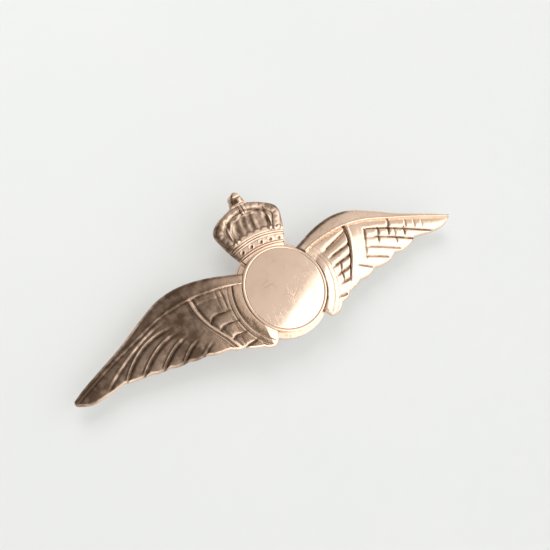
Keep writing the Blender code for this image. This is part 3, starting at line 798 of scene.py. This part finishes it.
def eased_copy(node, width):
    """The CAD node's shape with every sharp edge rounded over."""
    bm = bmesh.new()
    bm.from_mesh(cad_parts[node].data)
    bmesh.ops.remove_doubles(bm, verts=bm.verts, dist=1e-7)
    bmesh.ops.dissolve_limit(bm, angle_limit=math.radians(2), verts=bm.verts, edges=bm.edges)
    sharp = [edge for edge in bm.edges if edge.is_manifold and edge.calc_face_angle() > math.radians(35)]
    bmesh.ops.bevel(
        bm, geom=sharp, offset=width * MM, segments=3, profile=0.5, affect="EDGES", clamp_overlap=True
    )
    bmesh.ops.recalc_face_normals(bm, faces=bm.faces)
    mesh = bpy.data.meshes.new(node + "_eased")
    bm.to_mesh(mesh)
    bm.free()
    mesh.shade_smooth()
    mesh.set_sharp_from_angle(angle=math.radians(35))
    piece = bpy.data.objects.new(node + "_eased", mesh)
    bpy.context.scene.collection.objects.link(piece)
    return piece


def turned_fitting(name, profile, axis, steps):
    """A turned piece on the hinge's centre, its own axis laid along "X" or "Y"."""
    piece = turned_piece(name, profile, steps, closed=profile[0][0] > 0)
    turn = Matrix.Rotation(math.pi / 2, 4, "Y") if axis == "X" else Matrix.Rotation(-math.pi / 2, 4, "X")
    piece.matrix_world = Matrix.Translation(BADGE + Vector(HINGE) * MM) @ turn
    return piece


def make_rivet(material):
    """A hammered rivet: low domed heads with a flattened crown."""
    head, radius, shaft = LUG_REACH + 0.28, 0.56, 0.33
    dome = [(0.0, head), (0.20, head - 0.005), (0.34, head - 0.03), (0.46, head - 0.085)]
    dome += [(0.53, head - 0.15), (radius, head - 0.22), (radius - 0.02, LUG_REACH + 0.012)]
    dome += [(shaft, LUG_REACH)]
    profile = dome + [(r, -z) for r, z in reversed(dome)]
    rivet = turned_fitting("hammered_rivet", profile, "Y", 48)
    dress(rivet, "hinge_rivet", "badge", material)


def make_knuckle(material):
    """A short tube round the rivet, rounded outside, with a fine bevel at each end of its bore."""
    bore, outer, half, ease, bevel = 0.37, 0.80, 0.55, 0.09, 0.03
    profile = [(bore + bevel, half)] + quarter(ease, outer - ease, half - ease, 90, 0)
    profile += quarter(ease, outer - ease, ease - half, 0, -90)
    profile += [(bore + bevel, -half), (bore, bevel - half), (bore, half - bevel)]
    dress(turned_fitting("rolled_knuckle", profile, "Y", 64), "pin_knuckle", "pin", material)


def make_stem(material):
    """The wire: a brazed flare at the knuckle, then a straight run that is ground to a point."""
    root, taper = 0.83, 5.0
    profile = [(0.0, PIN_POINT), (0.02, PIN_POINT - 0.02)]
    for i in range(1, 25):
        share = (i / 24) ** 1.3
        profile.append((0.03 + (WIRE_RADIUS - 0.03) * share**0.72, PIN_POINT - 0.03 - taper * share))
    profile += [(WIRE_RADIUS, z) for z in np.linspace(PIN_POINT - taper - 1, root + 0.6, 24).tolist()]
    profile += [(0.415, root + 0.35), (0.45, root + 0.18), (0.50, root + 0.06), (0.50, root), (0.0, root)]
    dress(turned_fitting("ground_wire", profile, "X", 40), "pin_stem", "pin", material)


def make_fittings():
    drawn = satin_gold("drawn_wire", (1.0, 1.0, 0.08))
    worked = satin_gold("worked_fitting", (1.0, 0.5, 1.0))
    for node, body, width, slot in CUT_FITTINGS:
        dress(eased_copy(node, width), node, body, worked)
    make_rivet(worked)
    make_knuckle(worked)
    make_stem(drawn)


# ---------------------------------------------------------------- materials


class Graph:
    """Short calls for building one material's nodes."""

    def __init__(self, name, roughness, metallic=1.0):
        self.material = bpy.data.materials.new(name)
        self.material.use_nodes = True
        self.nodes = self.material.node_tree.nodes
        self.links = self.material.node_tree.links
        self.shader = self.nodes["Principled BSDF"]
        self.shader.inputs["Metallic"].default_value = metallic
        self.shader.inputs["Roughness"].default_value = roughness
        self.coordinates = self.nodes.new("ShaderNodeTexCoord").outputs["Object"]

    def put(self, value, socket):
        if isinstance(value, bpy.types.NodeSocket):
            self.links.new(value, socket)
        else:
            socket.default_value = value

    def stretched(self, scale, turn=0.0):
        mapping = self.nodes.new("ShaderNodeMapping")
        mapping.inputs["Scale"].default_value = scale
        mapping.inputs["Rotation"].default_value = (0, 0, turn)
        self.links.new(self.coordinates, mapping.inputs["Vector"])
        return mapping.outputs["Vector"]

    def noise(self, size_mm, detail=4.0, vector=None, distortion=0.0):
        node = self.nodes.new("ShaderNodeTexNoise")
        node.inputs["Scale"].default_value = 1 / (size_mm * MM)
        node.inputs["Detail"].default_value = detail
        node.inputs["Distortion"].default_value = distortion
        self.links.new(vector or self.coordinates, node.inputs["Vector"])
        return node.outputs["Fac"]

    def cells(self, size_mm, vector=None):
        node = self.nodes.new("ShaderNodeTexVoronoi")
        node.feature = "DISTANCE_TO_EDGE"
        node.inputs["Scale"].default_value = 1 / (size_mm * MM)
        self.links.new(vector or self.coordinates, node.inputs["Vector"])
        return node.outputs["Distance"]

    def attribute(self, name):
        node = self.nodes.new("ShaderNodeAttribute")
        node.attribute_name = name
        return node.outputs["Fac"]

    def remap(self, value, low, high, to_low=0.0, to_high=1.0):
        node = self.nodes.new("ShaderNodeMapRange")
        node.interpolation_type = "SMOOTHSTEP"
        for name, number in (("From Min", low), ("From Max", high), ("To Min", to_low), ("To Max", to_high)):
            node.inputs[name].default_value = number
        self.links.new(value, node.inputs["Value"])
        return node.outputs["Result"]

    def math(self, operation, first, second, clamp=False):
        node = self.nodes.new("ShaderNodeMath")
        node.operation = operation
        node.use_clamp = clamp
        self.put(first, node.inputs[0])
        self.put(second, node.inputs[1])
        return node.outputs["Value"]

    def mix(self, share, first, second):
        node = self.nodes.new("ShaderNodeMix")
        node.data_type = "RGBA"
        self.put(share, node.inputs["Factor"])
        self.put(first, node.inputs["A"])
        self.put(second, node.inputs["B"])
        return node.outputs["Result"]

    def bump(self, height, depth_mm, strength=1.0, below=None):
        node = self.nodes.new("ShaderNodeBump")
        node.inputs["Strength"].default_value = strength
        node.inputs["Distance"].default_value = depth_mm * MM
        self.links.new(height, node.inputs["Height"])
        if below:
            self.links.new(below, node.inputs["Normal"])
        return node.outputs["Normal"]

    def finish(self, colour, roughness, normal):
        self.links.new(colour, self.shader.inputs["Base Color"])
        self.links.new(roughness, self.shader.inputs["Roughness"])
        self.links.new(normal, self.shader.inputs["Normal"])
        return self.material


GOLD_BRIGHT = (0.90, 0.68, 0.53, 1)
GOLD_WARM = (0.85, 0.635, 0.49, 1)
GOLD_DULL = (0.60, 0.42, 0.30, 1)
# The dark brown of patina, which also serves as painted shade
TARNISH_AND_SHADE = (0.105, 0.062, 0.036, 1)


def struck_gold(name):
    """Die-struck rose gold: blotchy warmth, brown patina down in the grooves and painted shade where the mesh
    is marked for it, fine casting grain.
    """
    g = Graph(name, 0.3)
    blotch = g.remap(g.noise(3.2, 3), 0.35, 0.68)
    metal = g.mix(blotch, GOLD_WARM, GOLD_BRIGHT)
    speck = g.remap(g.noise(0.35, 5), 0.56, 0.72)
    metal = g.mix(g.math("MULTIPLY", speck, 0.35), metal, GOLD_DULL)
    uneven = g.remap(g.noise(0.8, 4), 0.25, 0.75, 0.65, 1.15)
    # The mesh's darkening: patina in the grooves, painted shade in other places
    dirt_and_shade = g.math("MULTIPLY", g.attribute("tarnish_and_shade"), uneven, clamp=True)
    dirt_and_shade = g.remap(dirt_and_shade, 0.05, 0.85)
    colour = g.mix(g.math("MULTIPLY", dirt_and_shade, 0.92), metal, TARNISH_AND_SHADE)
    grain = g.noise(0.09, 3)
    worn = g.math("MULTIPLY", g.noise(0.5, 4), 0.12)
    roughness = g.math("ADD", g.math("ADD", worn, 0.11), g.math("MULTIPLY", dirt_and_shade, 0.30))
    normal = g.bump(grain, 0.010, 0.5)
    normal = g.bump(g.noise(0.6, 2), 0.05, 0.25, normal)
    return g.finish(colour, roughness, normal)


def polished_gold(name, scratches=1.0):
    """Polished rose gold with hairlines every way, short worn marks and a faint haze of handling."""
    g = Graph(name, 0.08)
    haze = g.remap(g.noise(2.2, 4), 0.38, 0.70)
    metal = g.mix(haze, GOLD_BRIGHT, (0.86, 0.63, 0.49, 1))
    spots = g.remap(g.noise(0.25, 3), 0.66, 0.74)
    metal = g.mix(g.math("MULTIPLY", spots, 0.25), metal, GOLD_DULL)
    hair = None
    for turn, size in ((0.4, 0.10), (1.3, 0.13), (2.2, 0.11), (-0.5, 0.15)):
        streaks = g.noise(size, 2, g.stretched((1.0, 0.07, 1.0), turn))
        fine = g.remap(streaks, 0.66, 0.74)
        hair = fine if hair is None else g.math("MAXIMUM", hair, fine)
    worn = g.remap(g.noise(1.9, 3), 0.50, 0.62)
    marks = g.remap(g.cells(1.5, g.stretched((1.0, 0.7, 1.0), 0.7)), 0.0, 0.035, 1.0, 0.0)
    marks = g.math("MULTIPLY", marks, worn)
    normal = g.bump(g.math("MAXIMUM", hair, marks), -0.004, 0.45 * scratches)
    normal = g.bump(g.noise(1.5, 2), 0.03, 0.10, normal)
    dull = g.math("MULTIPLY", g.math("MAXIMUM", g.math("MULTIPLY", hair, 0.30), marks), 0.42 * scratches)
    colour = g.mix(dull, metal, GOLD_DULL)
    roughness = g.math("ADD", g.math("MULTIPLY", haze, 0.06), g.math("MULTIPLY", hair, 0.12))
    return g.finish(colour, g.math("ADD", roughness, 0.05), normal)


def satin_gold(name, along=(1.0, 1.0, 1.0)):
    """Plain backs and fittings: brushed satin with dull patches and small stains."""
    g = Graph(name, 0.32)
    patch = g.remap(g.noise(1.8, 4), 0.35, 0.70)
    metal = g.mix(patch, GOLD_WARM, GOLD_BRIGHT)
    stain = g.remap(g.noise(0.7, 5, distortion=0.4), 0.58, 0.74)
    colour = g.mix(g.math("MULTIPLY", stain, 0.55), metal, (0.34, 0.22, 0.15, 1))
    brushed = g.noise(0.16, 3, g.stretched(along))
    roughness = g.math("ADD", g.math("MULTIPLY", patch, 0.10), g.math("MULTIPLY", brushed, 0.18))
    normal = g.bump(brushed, 0.008, 0.5)
    return g.finish(colour, g.math("ADD", roughness, 0.16), normal)


# ---------------------------------------------------------------- studio


AIM = (-0.40, 1.65, 0.0)
CAMERA_DISTANCE = 83.5
CAMERA_AZIMUTH = -165.3
CAMERA_ELEVATION = 65.3
CAMERA_ROLL = 47.9
CAMERA_LENS = 52.4
FLOOR_SIZE = 4.0
FLOOR_GLOW = 0.36
WALL_RADIUS = 1.9
WALL_HEIGHT = 2.0
WALL_GLOW = 0.82
FLAG_X = (-110.0, 2.0)
FLAG_Y = (-100.0, 170.0)
FLAG_Z = 84.0
LAMP_PLACE = (-20.0, 150.0, 210.0)
LAMP_SIZE = 150.0
LAMP_POWER = 0.50

# The room's light by how far a direction leans towards ROOM_AXIS: (lean from -1 to 1, red, green, blue)
ROOM_AXIS = (0.47, -0.88, 0.0)
ROOM_LEVELS = (
    (-1.0, 0.62, 0.58, 0.55),
    (-0.6, 0.42, 0.38, 0.35),
    (-0.25, 0.46, 0.42, 0.39),
    (-0.10, 0.72, 0.69, 0.66),
    (0.05, 0.78, 0.76, 0.74),
    (0.19, 0.86, 0.86, 0.85),
    (0.208, 2.1, 2.1, 2.1),
    (0.6, 2.0, 2.0, 2.0),
    (1.0, 1.3, 1.3, 1.3),
)


def make_camera():
    azimuth, elevation = math.radians(CAMERA_AZIMUTH), math.radians(CAMERA_ELEVATION)
    back = Vector((
        math.cos(elevation) * math.cos(azimuth), math.cos(elevation) * math.sin(azimuth), math.sin(elevation)
    ))
    data = bpy.data.cameras.new("camera")
    data.lens = CAMERA_LENS
    data.clip_start = 0.005
    data.clip_end = 20
    camera = bpy.data.objects.new("camera", data)
    level = (-back).to_track_quat("-Z", "Y").to_matrix().to_4x4()
    place = Matrix.Translation(BADGE + (Vector(AIM) + back * CAMERA_DISTANCE) * MM)
    camera.matrix_world = place @ level @ Matrix.Rotation(math.radians(CAMERA_ROLL), 4, "Z")
    bpy.context.scene.collection.objects.link(camera)
    bpy.context.scene.camera = camera


def make_floor():
    """A pale satin board that glows a little, as a lit table does, so shadows on it stay faint."""
    bm = bmesh.new()
    bmesh.ops.create_grid(bm, x_segments=8, y_segments=8, size=FLOOR_SIZE / 2)
    mesh = bpy.data.meshes.new("floor")
    bm.to_mesh(mesh)
    bm.free()
    floor = bpy.data.objects.new("floor", mesh)
    g = Graph("pale_board", 0.55, 0.0)
    tone = g.mix(g.noise(18.0, 3), (0.29, 0.30, 0.292, 1), (0.31, 0.315, 0.31, 1))
    rough = g.remap(g.noise(2.0, 3), 0.3, 0.7, 0.5, 0.62)
    g.shader.inputs["Emission Color"].default_value = (0.985, 1.0, 0.98, 1)
    g.shader.inputs["Emission Strength"].default_value = FLOOR_GLOW
    mesh.materials.append(g.finish(tone, rough, g.bump(g.noise(0.4, 3), 0.02, 0.15)))
    bpy.context.scene.collection.objects.link(floor)


def make_backdrop():
    """A pale wall round the board, seen from low down only. The metal mirrors the room instead."""
    bm = bmesh.new()
    bmesh.ops.create_cone(bm, segments=96, radius1=WALL_RADIUS, radius2=WALL_RADIUS, depth=WALL_HEIGHT)
    mesh = bpy.data.meshes.new("backdrop")
    bm.to_mesh(mesh)
    bm.free()
    wall = bpy.data.objects.new("backdrop", mesh)
    wall.location.z = WALL_HEIGHT / 2
    g = Graph("pale_wall", 0.9, 0.0)
    tone = g.mix(g.noise(400.0, 2), (0.95, 0.97, 0.955, 1), (1.0, 1.0, 0.99, 1))
    g.links.new(tone, g.shader.inputs["Emission Color"])
    g.shader.inputs["Emission Strength"].default_value = WALL_GLOW
    g.shader.inputs["Base Color"].default_value = (0.02, 0.02, 0.02, 1)
    mesh.materials.append(g.material)
    wall.visible_diffuse = False
    wall.visible_glossy = False
    wall.visible_shadow = False
    bpy.context.scene.collection.objects.link(wall)


def make_flag():
    """A shaded card over the left wing, for the metal to mirror: dark over the tip, lighter to the disc.

    The camera never sees it.
    """
    (x0, x1), (y0, y1) = FLAG_X, FLAG_Y
    mesh = bpy.data.meshes.new("flag")
    corners = [(x, y, FLAG_Z) for x, y in ((x0, y0), (x0, y1), (x1, y1), (x1, y0))]
    mesh.from_pydata([tuple(Vector(corner) * MM) for corner in corners], [], [(0, 1, 2, 3)])
    flag = bpy.data.objects.new("flag", mesh)
    flag.location = BADGE
    g = Graph("shaded_card", 0.9, 0.0)
    axes = g.nodes.new("ShaderNodeSeparateXYZ")
    g.links.new(g.coordinates, axes.inputs["Vector"])
    broad = g.remap(axes.outputs["X"], -18 * MM, -3 * MM, 0.0, 0.20)
    inward = g.remap(axes.outputs["X"], -5 * MM, -0.5 * MM, 0.0, 0.72)
    forward = g.remap(axes.outputs["Y"], -6 * MM, -26 * MM, 0.0, 0.24)
    light = g.math("ADD", g.math("ADD", broad, inward), forward, clamp=True)
    tone = g.mix(light, (0.035, 0.026, 0.020, 1), (0.80, 0.68, 0.56, 1))
    g.links.new(tone, g.shader.inputs["Emission Color"])
    g.shader.inputs["Emission Strength"].default_value = 1.0
    g.shader.inputs["Base Color"].default_value = (0.02, 0.02, 0.02, 1)
    mesh.materials.append(g.material)
    flag.visible_camera = False
    flag.visible_diffuse = False
    flag.visible_shadow = False
    bpy.context.scene.collection.objects.link(flag)


def make_room():
    """Soft studio light that changes across the room: dim on one side, bright past a window's edge."""
    world = bpy.data.worlds.new("room")
    world.use_nodes = True
    bpy.context.scene.world = world
    nodes, links = world.node_tree.nodes, world.node_tree.links
    dot = nodes.new("ShaderNodeVectorMath")
    dot.operation = "DOT_PRODUCT"
    dot.inputs[1].default_value = ROOM_AXIS
    links.new(nodes.new("ShaderNodeTexCoord").outputs["Generated"], dot.inputs[0])
    place = nodes.new("ShaderNodeMapRange")
    place.inputs["From Min"].default_value = -1.0
    links.new(dot.outputs["Value"], place.inputs["Value"])
    ramp = nodes.new("ShaderNodeValToRGB")
    links.new(place.outputs["Result"], ramp.inputs["Fac"])
    stops = ramp.color_ramp.elements
    stops.remove(stops[0])
    stops[0].position = (ROOM_LEVELS[0][0] + 1) / 2
    stops[0].color = (*ROOM_LEVELS[0][1:], 1)
    for position, red, green, blue in ROOM_LEVELS[1:]:
        stops.new((position + 1) / 2).color = (red, green, blue, 1)
    links.new(ramp.outputs["Color"], nodes["Background"].inputs["Color"])
    bpy.context.scene.view_settings.view_transform = "Standard"


def make_lamp():
    """A large soft lamp on the crown's side, which the metal doesn't mirror."""
    data = bpy.data.lights.new("lamp", "AREA")
    data.shape = "SQUARE"
    data.size = LAMP_SIZE * MM
    data.energy = LAMP_POWER
    lamp = bpy.data.objects.new("lamp", data)
    place = BADGE + Vector(LAMP_PLACE) * MM
    facing = (place - BADGE).to_track_quat("Z", "Y").to_matrix().to_4x4()
    lamp.matrix_world = Matrix.Translation(place) @ facing
    lamp.visible_glossy = False
    bpy.context.scene.collection.objects.link(lamp)


make_camera()
make_floor()
make_backdrop()
make_flag()
make_room()
make_lamp()
make_wing(RIGHT_WING)
make_wing(LEFT_WING)
make_crown()
make_disc()
make_bezel()
make_plate()
make_fittings()
